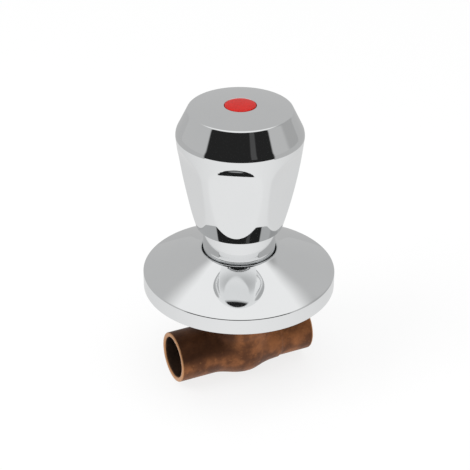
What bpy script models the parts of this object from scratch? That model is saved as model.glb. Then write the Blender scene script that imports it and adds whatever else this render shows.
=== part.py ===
"""Concealed stop valve for a 15 mm solder line, as an assembly of its real pieces.

Frame: the spindle stands along +Z, away from the wall, the pipe runs along X with the inlet at -X,
and the origin is where the two axes cross. Driving sizes are in millimetres and are turned into metres
where a mesh is made.
"""
from math import atan, atan2, cos, hypot, pi, radians, sin, sqrt, tan

import bmesh
import bpy
from mathutils import Matrix, Vector

MM = 0.001
MERGE = 0.00001
FIT = 0.3
LONG = 60.0

# Solder sockets and the cast body
PIPE_RADIUS = 7.5
SOLDER_GAP = 0.05
SOCKET_WALL = 1.9
SOCKET_DEPTH = 12.0
INLET_REACH = 26.9
OUTLET_REACH = 27.1
SOCKET_CHAMFER = 0.5
NECK_RADIUS = 12.6
NECK_TOP = 22.0
BOWL_INSET = 0.6
BOWL_DROP = 2.1
BLEND_RADIUS = 11.2
BLEND_START = 3.0
BLEND_END = 16.0
THREAD_BORE = 10.4
THREAD_LENGTH = 10.0
THREAD_RUNOUT = 1.0
BODY_WALL = 2.0
CHAMBER_RADIUS = 9.3

# Seat and the passages on either side of it
SEAT_TOP = 4.0
SEAT_RAISE = 0.8
SEAT_BORE = 5.0
SEAT_LAND = 1.4
PARTITION = 2.0
INLET_PASSAGE = 4.2
OUTLET_PASSAGE = 4.0

# Valve disc and its carrier
DISC_WASHER_RADIUS = 6.4
DISC_WASHER_THICK = 3.0
CARRIER_WEB = 2.0
CARRIER_LIP = 0.5
CARRIER_LIP_DROP = 1.7
STEM_FLATS = 9.0
STEM_LENGTH = 9.4
DISC_SCREW_RADIUS = 1.9
DISC_SCREW_HEAD = 3.4
DISC_SCREW_HEAD_THICK = 1.6
CLAMP_WASHER_RADIUS = 4.2
CLAMP_WASHER_THICK = 0.7

# Travel of the non-rising spindle: pitch and full turns
SPINDLE_PITCH = 2.0
SPINDLE_TURNS = 2.75
END_ROOM = 0.6

# Headwork housing, gland and spindle
GASKET_THICK = 0.8
HOUSING_THREAD = 10.1
HOUSING_SKIRT_WALL = 2.4
FLANGE_THICK = 1.6
HOUSING_HEX_FLATS = 19.0
HOUSING_HEX_HEIGHT = 5.0
HOUSING_NOSE = 8.9
HOUSING_NOSE_HEIGHT = 6.5
GLAND_BORE = 6.7
GLAND_HEX_FLATS = 15.0
GLAND_HEX_HEIGHT = 3.0
SLIP_WASHER_THICK = 0.7
SPINDLE_THREAD = 3.0
SPINDLE_COLLAR_THICK = 2.0
SPINDLE_RADIUS = 4.2
O_RING_CORD = 0.7
O_RING_GROOVE_ROOM = 0.3
O_RING_SPACING = 2.8

# Splined end, its insert and the handle's fixing screw
SPLINE_TEETH = 20
SPLINE_RADIUS = 3.95
SPLINE_DEPTH = 0.4
SPLINE_START = 4.0
SPLINE_LENGTH = 18.0
INSERT_FLATS = 10.0
INSERT_LENGTH = 13.4
INSERT_OVERHANG = 1.4
BOSS_WALL = 1.3
BOSS_FLOOR = 3.3
FIXING_RADIUS = 1.85
FIXING_ENGAGED = 10.0
FIXING_HEAD_RADIUS = 3.6
FIXING_HEAD_THICK = 2.5
LOCK_WASHER_THICK = 1.0
WELL_RADIUS = 4.6

# Chrome sleeve and rosette
SLEEVE_RADIUS = 13.0
SLEEVE_WALL = 1.6
SLEEVE_TOP = 40.1
SLEEVE_EDGE = 0.7
SLEEVE_WEB_THICK = 3.5
ROSETTE_RADIUS = 35.0
ROSETTE_RIM = 6.0
ROSETTE_BACK = 26.1
ROSETTE_SHEET = 1.1
ROSETTE_EDGE = 0.8
ROSETTE_RISE = 5.2
ROSETTE_EDGE_SLOPE = 0.46
SEAL_DEPTH = 1.3
SEAL_HEIGHT = 3.6
SEAL_LIP = 0.7

# Handle: heights above its lower end, and radii; the shoulder is named by its corner before rounding
HANDLE_NECK = 13.15
HANDLE_WALL = 2.25
BEAD_RADIUS = 13.7
BEAD_HEIGHT = 1.9
BEAD_EDGE = 0.3
SKIRT_HEIGHT = 10.8
SKIRT_RADIUS = 15.7
SKIRT_COVE = 0.6
SHOULDER_HEIGHT = 47.0
SHOULDER_RADIUS = 22.66
SHOULDER_ROUND = 5.0
GRIP_BOW = 187.0
CHAMFER_TOP = 55.9
CHAMFER_RADIUS = 18.35
CROWN_EDGE_ROUND = 0.8
CROWN_RISE = 1.5
CAVITY_NECK = 9.8
CAVITY_TOP = 52.5
CAVITY_WIDEST = 16.2
CAVITY_WIDEST_DROP = 9.0
CAVITY_TAPER = 0.6
CAVITY_TAPER_DROP = 17.0
CAVITY_ROUND = 2.0
BOSS_ROOT = 1.5

# Grip faces: distance from the spindle at a height, lean, hollow at the foot and cove at the top
FACETS = 6
FACET_HEIGHT = 24.6
FACET_RADIUS = 17.5
FACET_TILT = 8.64
FACET_FOOT = 16.5
FACET_HOLLOW = 40.0
FACET_COVE_RADIUS = 18.9
FACET_COVE_TILT = 34.6
FACET_ARCH_TOP = 43.5
FACET_CUT_DEPTH = 6.0

# Red indicator cap
CAP_RADIUS = 5.5
CAP_HEIGHT = 3.2
CAP_WALL = 1.1
CAP_CROWN = 0.25

# Facets of the round shapes
FINE_STEPS = 36
ROUND_STEPS = 40
SMALL_STEPS = 24
TINY_STEPS = 16

# Places along the spindle that follow from the sizes above
STROKE = SPINDLE_PITCH * SPINDLE_TURNS
SOCKET_RADIUS = PIPE_RADIUS + SOLDER_GAP + SOCKET_WALL
BOWL_RADIUS = NECK_RADIUS - BOWL_INSET
WASHER_BOTTOM = SEAT_TOP + FIT
WASHER_TOP = WASHER_BOTTOM + DISC_WASHER_THICK
WEB_BOTTOM = WASHER_TOP + FIT
WEB_TOP = WEB_BOTTOM + CARRIER_WEB
CARRIER_RADIUS = DISC_WASHER_RADIUS + FIT + CARRIER_LIP
STEM_TOP = WEB_TOP + STEM_LENGTH
GUIDE_BOTTOM = WEB_TOP + STROKE + END_ROOM
GUIDE_TOP = STEM_TOP + STROKE + END_ROOM
SPINDLE_END = WEB_TOP + STROKE + FIT
THREAD_BOTTOM = NECK_TOP - THREAD_LENGTH
SKIRT_BOTTOM = THREAD_BOTTOM + FIT
GASKET_BOTTOM = NECK_TOP + FIT
FLANGE_BOTTOM = GASKET_BOTTOM + GASKET_THICK + FIT
FLANGE_TOP = FLANGE_BOTTOM + FLANGE_THICK
HOUSING_HEX_TOP = FLANGE_TOP + HOUSING_HEX_HEIGHT
HOUSING_TOP = HOUSING_HEX_TOP + HOUSING_NOSE_HEIGHT
LOWER_SLIP_BOTTOM = GUIDE_TOP + FIT
COLLAR_BOTTOM = LOWER_SLIP_BOTTOM + SLIP_WASHER_THICK + FIT
COLLAR_TOP = COLLAR_BOTTOM + SPINDLE_COLLAR_THICK
UPPER_SLIP_BOTTOM = COLLAR_TOP + FIT
GLAND_BOTTOM = UPPER_SLIP_BOTTOM + SLIP_WASHER_THICK + FIT
GLAND_HEX_BOTTOM = HOUSING_TOP + FIT
GLAND_INSERT = GLAND_BORE - FIT
HANDLE_BOTTOM = SLEEVE_TOP + FIT
SPLINE_BOTTOM = HANDLE_BOTTOM + SPLINE_START
SPINDLE_TOP = SPLINE_BOTTOM + SPLINE_LENGTH
INSERT_TOP = SPINDLE_TOP + INSERT_OVERHANG
INSERT_BOTTOM = INSERT_TOP - INSERT_LENGTH
BOSS_FLOOR_BOTTOM = INSERT_TOP + FIT
BOSS_FLOOR_TOP = BOSS_FLOOR_BOTTOM + BOSS_FLOOR
POCKET_FLATS = INSERT_FLATS + 2 * FIT
BOSS_RADIUS = POCKET_FLATS / 2 / cos(pi / 6) + BOSS_WALL
CROWN_EDGE = HANDLE_BOTTOM + CHAMFER_TOP


def material(name, color, roughness, metallic):
    """One Principled finish for one sub-part."""
    mat = bpy.data.materials.new(name)
    mat.use_nodes = True
    shader = mat.node_tree.nodes["Principled BSDF"]
    shader.inputs["Base Color"].default_value = (*color, 1.0)
    shader.inputs["Roughness"].default_value = roughness
    shader.inputs["Metallic"].default_value = metallic
    mat.diffuse_color = (*color, 1.0)
    return mat


def arc(centre_r, centre_z, radius, start, end, steps):
    """Points on a round stretch of a profile, angles in degrees from +r towards +z."""
    angles = [radians(start + (end - start) * i / steps) for i in range(steps + 1)]
    return [(centre_r + radius * cos(a), centre_z + radius * sin(a)) for a in angles]


def clear_scene():
    """Empty the file and give back one collection for the pieces and one for the cutters."""
    for item in list(bpy.data.objects):
        bpy.data.objects.remove(item, do_unlink=True)
    pieces = bpy.data.collections.new("concealed_stop_valve")
    cutters = bpy.data.collections.new("cutters")
    bpy.context.scene.collection.children.link(pieces)
    bpy.context.scene.collection.children.link(cutters)
    return pieces, cutters


PIECES, CUTTERS = clear_scene()


def place(obj, cutter):
    """Put a new object into the pieces, or among the hidden cutters."""
    if cutter:
        obj.hide_render = True
        obj.display_type = "WIRE"
        CUTTERS.objects.link(obj)
    else:
        PIECES.objects.link(obj)
    return obj


def turned(name, profile, steps, cutter=False):
    """A turned piece: a profile of (radius, height) that runs down the outer side, swept round Z.

    A profile that starts and ends on the axis is left open there; any other profile is a closed ring.
    """
    mesh = bpy.data.meshes.new(name)
    points = [(r * MM, 0.0, z * MM) for r, z in profile]
    edges = [(i, i + 1) for i in range(len(points) - 1)]
    if profile[0][0] > 0:
        edges.append((len(points) - 1, 0))
    mesh.from_pydata(points, edges, [])
    obj = place(bpy.data.objects.new(name, mesh), cutter)
    screw = obj.modifiers.new("Turn", "SCREW")
    screw.axis = "Z"
    screw.steps = steps
    screw.render_steps = steps
    screw.use_merge_vertices = True
    screw.merge_threshold = MERGE
    screw.use_smooth_shade = False
    return obj


def prism(name, flats, bottom, top, cutter=False, sides=6):
    """An upright hexagonal bar, flats across, standing on its corner angle."""
    mesh = bpy.data.meshes.new(name)
    bm = bmesh.new()
    radius = flats / 2 / cos(pi / sides) * MM
    bmesh.ops.create_cone(bm, cap_ends=True, segments=sides, radius1=radius, radius2=radius,
                          depth=(top - bottom) * MM)
    bmesh.ops.translate(bm, verts=bm.verts, vec=(0.0, 0.0, (top + bottom) / 2 * MM))
    bm.to_mesh(mesh)
    bm.free()
    return place(bpy.data.objects.new(name, mesh), cutter)


def pipe_bar(name, radius, start, end, height, cutter=False, end_radius=None, steps=ROUND_STEPS):
    """A round bar or cone along X, from start to end, with its axis at a height on Z."""
    mesh = bpy.data.meshes.new(name)
    bm = bmesh.new()
    last = radius if end_radius is None else end_radius
    bmesh.ops.create_cone(bm, cap_ends=True, segments=steps, radius1=radius * MM, radius2=last * MM,
                          depth=(end - start) * MM)
    turn = Matrix.Rotation(pi / 2, 4, "Y")
    shift = Matrix.Translation(Vector(((start + end) / 2 * MM, 0.0, height * MM)))
    bmesh.ops.transform(bm, matrix=shift @ turn, verts=bm.verts)
    bm.to_mesh(mesh)
    bm.free()
    return place(bpy.data.objects.new(name, mesh), cutter)


def extruded(name, outline, half_width, matrix, cutter=False):
    """A closed flat outline, in millimetres, filled and extruded both ways, then set in place."""
    curve = bpy.data.curves.new(name, "CURVE")
    curve.dimensions = "2D"
    curve.fill_mode = "BOTH"
    curve.extrude = half_width * MM
    spline = curve.splines.new("POLY")
    spline.points.add(len(outline) - 1)
    for point, (x, y) in zip(spline.points, outline):
        point.co = (x * MM, y * MM, 0.0, 1.0)
    spline.use_cyclic_u = True
    drawn = bpy.data.objects.new(name + "_outline", curve)
    bpy.context.scene.collection.objects.link(drawn)
    bpy.context.view_layer.update()
    depsgraph = bpy.context.evaluated_depsgraph_get()
    mesh = bpy.data.meshes.new_from_object(drawn.evaluated_get(depsgraph))
    bpy.data.objects.remove(drawn, do_unlink=True)
    bm = bmesh.new()
    bm.from_mesh(mesh)
    bmesh.ops.remove_doubles(bm, verts=bm.verts, dist=MERGE / 10)
    bmesh.ops.transform(bm, matrix=matrix, verts=bm.verts)
    bmesh.ops.recalc_face_normals(bm, faces=bm.faces)
    bm.to_mesh(mesh)
    bm.free()
    mesh.name = name
    return place(bpy.data.objects.new(name, mesh), cutter)


def boolean(obj, other, operation):
    """Join or cut one piece with another, exactly."""
    mod = obj.modifiers.new(operation.title() + " " + other.name, "BOOLEAN")
    mod.operation = operation
    mod.solver = "EXACT"
    mod.object = other
    return obj


def cut(obj, *others):
    for other in others:
        boolean(obj, other, "DIFFERENCE")
    return obj


def join(obj, *others):
    for other in others:
        boolean(obj, other, "UNION")
    return obj


def finish(obj, mat, smooth=32.0):
    """Give a piece its material and smooth shading up to its sharp edges."""
    obj.data.materials.clear()
    obj.data.materials.append(mat)
    if len(obj.data.polygons):
        obj.data.shade_smooth()
        obj.data.set_sharp_from_angle(angle=radians(smooth))
    return obj


def ring(name, inner, outer, bottom, top, mat, steps=SMALL_STEPS, chamfer=0.0):
    """A flat ring with its outer edges broken by a small chamfer."""
    profile = [(outer - chamfer, top), (outer, top - chamfer),
               (outer, bottom + chamfer), (outer - chamfer, bottom)]
    if not chamfer:
        profile = [(outer, top), (outer, bottom)]
    return finish(turned(name, profile + [(inner, bottom), (inner, top)], steps), mat)


# Finishes
CHROME = material("polished_chrome", (0.80, 0.81, 0.82), 0.06, 1.0)
GUNMETAL = material("cast_gunmetal", (0.42, 0.22, 0.11), 0.48, 1.0)
BRASS = material("turned_brass", (0.72, 0.55, 0.27), 0.28, 1.0)
STEEL = material("stainless_steel", (0.62, 0.62, 0.62), 0.30, 1.0)
RUBBER = material("black_rubber", (0.03, 0.03, 0.03), 0.75, 0.0)
FIBRE = material("red_fibre", (0.32, 0.07, 0.05), 0.80, 0.0)
SLIP = material("white_slip_plastic", (0.82, 0.82, 0.80), 0.40, 0.0)
ACETAL = material("natural_acetal", (0.78, 0.77, 0.72), 0.45, 0.0)
RED = material("red_indicator", (0.72, 0.04, 0.02), 0.30, 0.0)


def valve_body():
    """Casting: two solder sockets, a bowl with the seat across it, and the threaded neck."""
    bowl_bottom = -(SOCKET_RADIUS + BOWL_DROP)
    bowl_round = BOWL_RADIUS * 0.55
    bowl_shoulder = bowl_bottom + bowl_round
    lower = arc(BOWL_RADIUS - bowl_round, bowl_shoulder, bowl_round, 0, -90, 5)
    profile = [(0.0, NECK_TOP), (NECK_RADIUS - 0.4, NECK_TOP), (NECK_RADIUS, NECK_TOP - 0.4),
               (NECK_RADIUS, SOCKET_RADIUS), (BOWL_RADIUS, SOCKET_RADIUS - 3.0)]
    body = turned("valve_body", profile + lower + [(0.0, bowl_bottom)], ROUND_STEPS)
    sockets = pipe_bar("sockets", SOCKET_RADIUS, -INLET_REACH, OUTLET_REACH, 0.0, cutter=True)
    blend = pipe_bar("outlet_blend", BLEND_RADIUS, BLEND_START, BLEND_END, 0.0, cutter=True,
                     end_radius=SOCKET_RADIUS - 0.1)
    join(body, sockets, blend)

    socket_bore = PIPE_RADIUS + SOLDER_GAP
    inlet_stop = INLET_REACH - SOCKET_DEPTH
    outlet_stop = OUTLET_REACH - SOCKET_DEPTH
    inlet_bore = pipe_bar("inlet_bore", socket_bore, -LONG, -inlet_stop, 0.0, cutter=True)
    outlet_bore = pipe_bar("outlet_bore", socket_bore, outlet_stop, LONG, 0.0, cutter=True)
    # Each mouth is a 45 degree cone that runs a little way past both ends of its chamfer
    past = SOCKET_CHAMFER / 2
    wide = socket_bore + SOCKET_CHAMFER + past
    narrow = socket_bore - past
    inlet_mouth = pipe_bar("inlet_mouth", wide, -INLET_REACH - past, -INLET_REACH + SOCKET_CHAMFER + past,
                           0.0, cutter=True, end_radius=narrow)
    outlet_mouth = pipe_bar("outlet_mouth", narrow, OUTLET_REACH - SOCKET_CHAMFER - past,
                            OUTLET_REACH + past, 0.0, cutter=True, end_radius=wide)

    partition_top = SEAT_TOP - SEAT_RAISE
    inlet_height = partition_top - PARTITION - INLET_PASSAGE
    well_bottom = bowl_bottom + BODY_WALL
    room = [(0.0, LONG), (THREAD_BORE, LONG), (THREAD_BORE, THREAD_BOTTOM),
            (CHAMBER_RADIUS, THREAD_BOTTOM - THREAD_RUNOUT), (CHAMBER_RADIUS, partition_top),
            (SEAT_BORE + SEAT_LAND + SEAT_RAISE, partition_top), (SEAT_BORE + SEAT_LAND, SEAT_TOP),
            (SEAT_BORE, SEAT_TOP), (SEAT_BORE, well_bottom + 1.5), (SEAT_BORE - 1.5, well_bottom),
            (0.0, well_bottom)]
    chamber = turned("valve_chamber", room, ROUND_STEPS, cutter=True)
    inlet_way = pipe_bar("inlet_passage", INLET_PASSAGE, -inlet_stop - 1.0, SEAT_BORE - 2.0, inlet_height,
                         cutter=True, steps=SMALL_STEPS)
    outlet_way = pipe_bar("outlet_passage", OUTLET_PASSAGE, SEAT_BORE + SEAT_LAND, outlet_stop + 1.0,
                          partition_top, cutter=True, steps=SMALL_STEPS)
    cut(body, inlet_bore, outlet_bore, inlet_mouth, outlet_mouth, chamber, inlet_way, outlet_way)
    return finish(body, GUNMETAL)


def disc_parts():
    """Rubber disc on the seat, the hexagonal carrier that lifts it, and the screw that holds it."""
    lip_bottom = WEB_BOTTOM - CARRIER_LIP_DROP
    cup = [(CARRIER_RADIUS - 0.3, WEB_TOP), (CARRIER_RADIUS, WEB_TOP - 0.3), (CARRIER_RADIUS, lip_bottom),
           (DISC_WASHER_RADIUS + FIT, lip_bottom), (DISC_WASHER_RADIUS + FIT, WEB_BOTTOM),
           (DISC_SCREW_RADIUS + FIT, WEB_BOTTOM), (DISC_SCREW_RADIUS + FIT, WEB_TOP)]
    carrier = turned("disc_carrier", cup, SMALL_STEPS)
    stem = prism("carrier_stem", STEM_FLATS, WEB_TOP - 1.0, STEM_TOP, cutter=True)
    drilled = [(0.0, LONG), (SPINDLE_THREAD + FIT, LONG), (SPINDLE_THREAD + FIT, WEB_TOP),
               (DISC_SCREW_RADIUS + FIT, WEB_TOP - 0.6), (DISC_SCREW_RADIUS + FIT, 0.0), (0.0, 0.0)]
    thread_bore = turned("carrier_bore", drilled, TINY_STEPS, cutter=True)
    join(carrier, stem)
    cut(carrier, thread_bore)
    finish(carrier, BRASS)

    ring("disc_washer", DISC_SCREW_RADIUS + FIT, DISC_WASHER_RADIUS, WASHER_BOTTOM, WASHER_TOP, RUBBER,
         chamfer=0.3)
    clamp_top = WASHER_BOTTOM - FIT
    clamp_bottom = clamp_top - CLAMP_WASHER_THICK
    ring("clamp_washer", DISC_SCREW_RADIUS + FIT, CLAMP_WASHER_RADIUS, clamp_bottom, clamp_top, STEEL,
         steps=TINY_STEPS)
    head_top = clamp_bottom - FIT
    head_bottom = head_top - DISC_SCREW_HEAD_THICK
    shank = [(0.0, WEB_TOP - FIT), (DISC_SCREW_RADIUS, WEB_TOP - FIT), (DISC_SCREW_RADIUS, head_top),
             (DISC_SCREW_HEAD, head_top), (DISC_SCREW_HEAD, head_bottom + 0.5),
             (DISC_SCREW_HEAD - 0.5, head_bottom), (0.0, head_bottom)]
    screw = turned("disc_screw", shank, TINY_STEPS)
    slot = extruded("disc_screw_slot", [(-LONG, -0.4), (LONG, -0.4), (LONG, 0.4), (-LONG, 0.4)], 0.8,
                    Matrix.Translation(Vector((0.0, 0.0, head_bottom * MM))), cutter=True)
    cut(screw, slot)
    finish(screw, STEEL)


def headwork():
    """Screw-in headwork: gasket, hexagonal housing, slip washers and gland nut."""
    ring("body_gasket", HOUSING_THREAD + FIT, NECK_RADIUS - FIT, GASKET_BOTTOM,
         GASKET_BOTTOM + GASKET_THICK, FIBRE)
    skirt_inner = HOUSING_THREAD - HOUSING_SKIRT_WALL
    flange = NECK_RADIUS - FIT
    profile = [(0.0, HOUSING_TOP), (HOUSING_NOSE - 0.5, HOUSING_TOP), (HOUSING_NOSE, HOUSING_TOP - 0.5),
               (HOUSING_NOSE, FLANGE_TOP), (flange - 0.3, FLANGE_TOP), (flange, FLANGE_TOP - 0.3),
               (flange, FLANGE_BOTTOM), (HOUSING_THREAD, FLANGE_BOTTOM), (HOUSING_THREAD, SKIRT_BOTTOM + 0.5),
               (HOUSING_THREAD - 0.5, SKIRT_BOTTOM), (0.0, SKIRT_BOTTOM)]
    housing = turned("headwork_housing", profile, ROUND_STEPS)
    hexagon = prism("housing_hex", HOUSING_HEX_FLATS, FLANGE_TOP - 0.5, HOUSING_HEX_TOP, cutter=True)
    above = [(0.0, LONG), (GLAND_BORE, LONG), (GLAND_BORE, GUIDE_TOP), (0.0, GUIDE_TOP)]
    gland_room = turned("gland_room", above, ROUND_STEPS, cutter=True)
    below = [(0.0, GUIDE_BOTTOM), (skirt_inner, GUIDE_BOTTOM), (skirt_inner, 0.0), (0.0, 0.0)]
    carrier_room = turned("carrier_room", below, ROUND_STEPS, cutter=True)
    guide = prism("stem_guide", STEM_FLATS + 2 * FIT, GUIDE_BOTTOM - 1.0, GUIDE_TOP + 1.0, cutter=True)
    join(housing, hexagon)
    cut(housing, gland_room, carrier_room, guide)
    finish(housing, BRASS)

    slip_inner = SPINDLE_THREAD + FIT
    ring("lower_slip_washer", slip_inner, GLAND_INSERT, LOWER_SLIP_BOTTOM,
         LOWER_SLIP_BOTTOM + SLIP_WASHER_THICK, SLIP)
    ring("upper_slip_washer", SPINDLE_RADIUS + FIT, GLAND_INSERT, UPPER_SLIP_BOTTOM,
         UPPER_SLIP_BOTTOM + SLIP_WASHER_THICK, SLIP)

    gland_bore = SPINDLE_RADIUS + FIT
    gland_waist = GLAND_HEX_FLATS / 2 - 0.6
    gland_top = GLAND_HEX_BOTTOM + GLAND_HEX_HEIGHT
    plug = [(gland_waist, gland_top), (gland_waist, GLAND_HEX_BOTTOM), (GLAND_INSERT, GLAND_HEX_BOTTOM),
            (GLAND_INSERT, GLAND_BOTTOM + 0.4), (GLAND_INSERT - 0.4, GLAND_BOTTOM),
            (gland_bore, GLAND_BOTTOM), (gland_bore, gland_top)]
    gland = turned("gland_nut", plug, SMALL_STEPS)
    nut = prism("gland_hex", GLAND_HEX_FLATS, GLAND_HEX_BOTTOM, gland_top, cutter=True)
    hole = [(0.0, LONG), (gland_bore, LONG), (gland_bore, 0.0), (0.0, 0.0)]
    through = turned("gland_through", hole, SMALL_STEPS, cutter=True)
    join(gland, nut)
    cut(gland, through)
    finish(gland, BRASS)


def star(tip, root, teeth):
    """Outline of a fine spline: flat-topped teeth and flat roots at even angles."""
    points = []
    step = 2 * pi / teeth
    for i in range(teeth):
        for radius, share in ((root, -0.32), (tip, -0.14), (tip, 0.14), (root, 0.32)):
            a = (i + share) * step
            points.append((radius * cos(a), radius * sin(a)))
    return points


def o_ring_heights():
    """Middle heights of the two O-rings inside the gland nut."""
    lower = GLAND_BOTTOM + O_RING_CORD + O_RING_GROOVE_ROOM + 1.4
    return lower, lower + O_RING_SPACING


def spindle_parts():
    """Non-rising spindle with its collar, O-ring grooves and splined end, and the two O-rings."""
    groove = O_RING_CORD + O_RING_GROOVE_ROOM
    ring_middle = SPINDLE_RADIUS - O_RING_CORD
    groove_floor = ring_middle - O_RING_CORD - FIT / 2
    first, second = o_ring_heights()
    spline_root = SPLINE_RADIUS - SPLINE_DEPTH
    profile = [(0.0, SPLINE_BOTTOM + 1.0), (spline_root - 0.5, SPLINE_BOTTOM + 1.0),
               (spline_root - 0.5, SPLINE_BOTTOM), (SPINDLE_RADIUS, SPLINE_BOTTOM)]
    for height in (second, first):
        profile += [(SPINDLE_RADIUS, height + groove), (groove_floor, height + groove),
                    (groove_floor, height - groove), (SPINDLE_RADIUS, height - groove)]
    profile += [(SPINDLE_RADIUS, COLLAR_TOP), (GLAND_INSERT, COLLAR_TOP), (GLAND_INSERT, COLLAR_BOTTOM),
                (SPINDLE_THREAD, COLLAR_BOTTOM), (SPINDLE_THREAD, SPINDLE_END + 0.6),
                (SPINDLE_THREAD - 0.6, SPINDLE_END), (0.0, SPINDLE_END)]
    spindle = turned("spindle", profile, SMALL_STEPS)
    half = (SPINDLE_TOP - SPLINE_BOTTOM) / 2
    spline = extruded("spindle_spline", star(SPLINE_RADIUS, spline_root, SPLINE_TEETH), half + 0.25,
                      Matrix.Translation(Vector((0.0, 0.0, (SPLINE_BOTTOM + half - 0.25) * MM))), cutter=True)
    tapped = turned("spindle_tapping", [(0.0, LONG + SPINDLE_TOP), (FIXING_RADIUS + FIT, LONG + SPINDLE_TOP),
                                        (FIXING_RADIUS + FIT, SPINDLE_TOP - FIXING_ENGAGED - 1.0),
                                        (0.0, SPINDLE_TOP - FIXING_ENGAGED - 2.0)], TINY_STEPS, cutter=True)
    join(spindle, spline)
    cut(spindle, tapped)
    finish(spindle, BRASS)

    for name, height in (("lower_o_ring", first), ("upper_o_ring", second)):
        seal = turned(name, arc(ring_middle, height, O_RING_CORD, 90, -210, 5), TINY_STEPS)
        finish(seal, RUBBER, smooth=60.0)


def sleeve():
    """Chrome sleeve screwed to the housing's nose; the rosette slides on it."""
    bottom = FLANGE_TOP + FIT
    inner = SLEEVE_RADIUS - SLEEVE_WALL
    web_top = HOUSING_TOP - 1.0
    web_bottom = web_top - SLEEVE_WEB_THICK
    edge = arc(SLEEVE_RADIUS - SLEEVE_EDGE, SLEEVE_TOP - SLEEVE_EDGE, SLEEVE_EDGE, 90, 0, 2)
    profile = edge + [(SLEEVE_RADIUS, bottom + 0.4), (SLEEVE_RADIUS - 0.4, bottom), (inner, bottom),
                      (inner, web_bottom), (HOUSING_NOSE + FIT, web_bottom), (HOUSING_NOSE + FIT, web_top),
                      (inner, web_top), (inner, SLEEVE_TOP)]
    finish(turned("sleeve", profile, FINE_STEPS), CHROME)


def dome_height(radius):
    """Height of the rosette's upper face: a parabola that steepens from the bore to the rim."""
    bore = SLEEVE_RADIUS + FIT
    span = ROSETTE_RADIUS - bore
    slope_in = 2 * ROSETTE_RISE / span - ROSETTE_EDGE_SLOPE
    curl = (ROSETTE_EDGE_SLOPE - slope_in) / span
    run = radius - bore
    return ROSETTE_BACK + ROSETTE_RIM + ROSETTE_RISE - slope_in * run - curl * run * run / 2


def rosette_parts():
    """Pressed rosette with a rolled rim and a hub that holds the rubber seal on the sleeve."""
    bore = SLEEVE_RADIUS + FIT
    hub_inner = bore + SEAL_DEPTH + FIT
    hub_outer = hub_inner + ROSETTE_SHEET
    rim_inner = ROSETTE_RADIUS - ROSETTE_SHEET
    edge_tilt = 90.0 - atan(ROSETTE_EDGE_SLOPE) * 180 / pi
    edge_centre_r = ROSETTE_RADIUS - ROSETTE_EDGE
    edge_centre_z = dome_height(edge_centre_r) - ROSETTE_EDGE
    steps = 5
    dome_end = edge_centre_r + ROSETTE_EDGE * cos(radians(edge_tilt))
    dome = [bore + 0.2 + (dome_end - bore - 0.2) * i / steps for i in range(steps)]
    upper = [(r, dome_height(r)) for r in dome]
    edge = arc(edge_centre_r, edge_centre_z, ROSETTE_EDGE, edge_tilt, 0, 4)
    seal_top = dome_height(hub_inner) - ROSETTE_SHEET
    seal_room = SEAL_HEIGHT + 2 * FIT
    hub_bottom = seal_top - seal_room - SEAL_LIP
    under_steps = 3
    inside = [hub_outer + (rim_inner - hub_outer) * i / under_steps for i in range(under_steps, -1, -1)]
    under = [(r, dome_height(r) - ROSETTE_SHEET) for r in inside]
    profile = upper + edge + [(ROSETTE_RADIUS, ROSETTE_BACK), (rim_inner, ROSETTE_BACK)] + under
    profile += [(hub_outer, hub_bottom), (bore, hub_bottom), (bore, hub_bottom + SEAL_LIP),
                (hub_inner, hub_bottom + SEAL_LIP), (hub_inner, seal_top), (bore, seal_top),
                (bore, dome_height(bore) - 0.2)]
    finish(turned("rosette", profile, FINE_STEPS), CHROME, smooth=28.0)
    seal_bottom = hub_bottom + SEAL_LIP + FIT
    ring("rosette_seal", bore, bore + SEAL_DEPTH, seal_bottom, seal_bottom + SEAL_HEIGHT, RUBBER)


def bend(before, corner, after, radius, steps):
    """Points on an arc of a radius that is tangent to the two straight lines meeting at a corner."""
    middle = Vector(corner)
    back = (Vector(before) - middle).normalized()
    onward = (Vector(after) - middle).normalized()
    half = back.angle(onward) / 2
    centre = middle + (back + onward).normalized() * radius / sin(half)
    start = middle + back * radius / tan(half) - centre
    end = middle + onward * radius / tan(half) - centre
    first = atan2(start.y, start.x)
    sweep = (atan2(end.y, end.x) - first + pi) % (2 * pi) - pi
    turns = [first + sweep * i / steps for i in range(steps + 1)]
    return [(centre.x + radius * cos(a), centre.y + radius * sin(a)) for a in turns]


def grip_radius(height):
    """Radius of the grip's round side at a height: a slack arc from the shoulder to the skirt's edge."""
    rise = SHOULDER_HEIGHT - SKIRT_HEIGHT
    spread = SHOULDER_RADIUS - SKIRT_RADIUS
    chord = hypot(rise, spread)
    drop = sqrt(GRIP_BOW ** 2 - chord ** 2 / 4)
    centre_radius = (SHOULDER_RADIUS + SKIRT_RADIUS) / 2 - drop * rise / chord
    centre_height = (SHOULDER_HEIGHT + SKIRT_HEIGHT) / 2 + drop * spread / chord
    return centre_radius + sqrt(GRIP_BOW ** 2 - (height - centre_height) ** 2)


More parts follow.
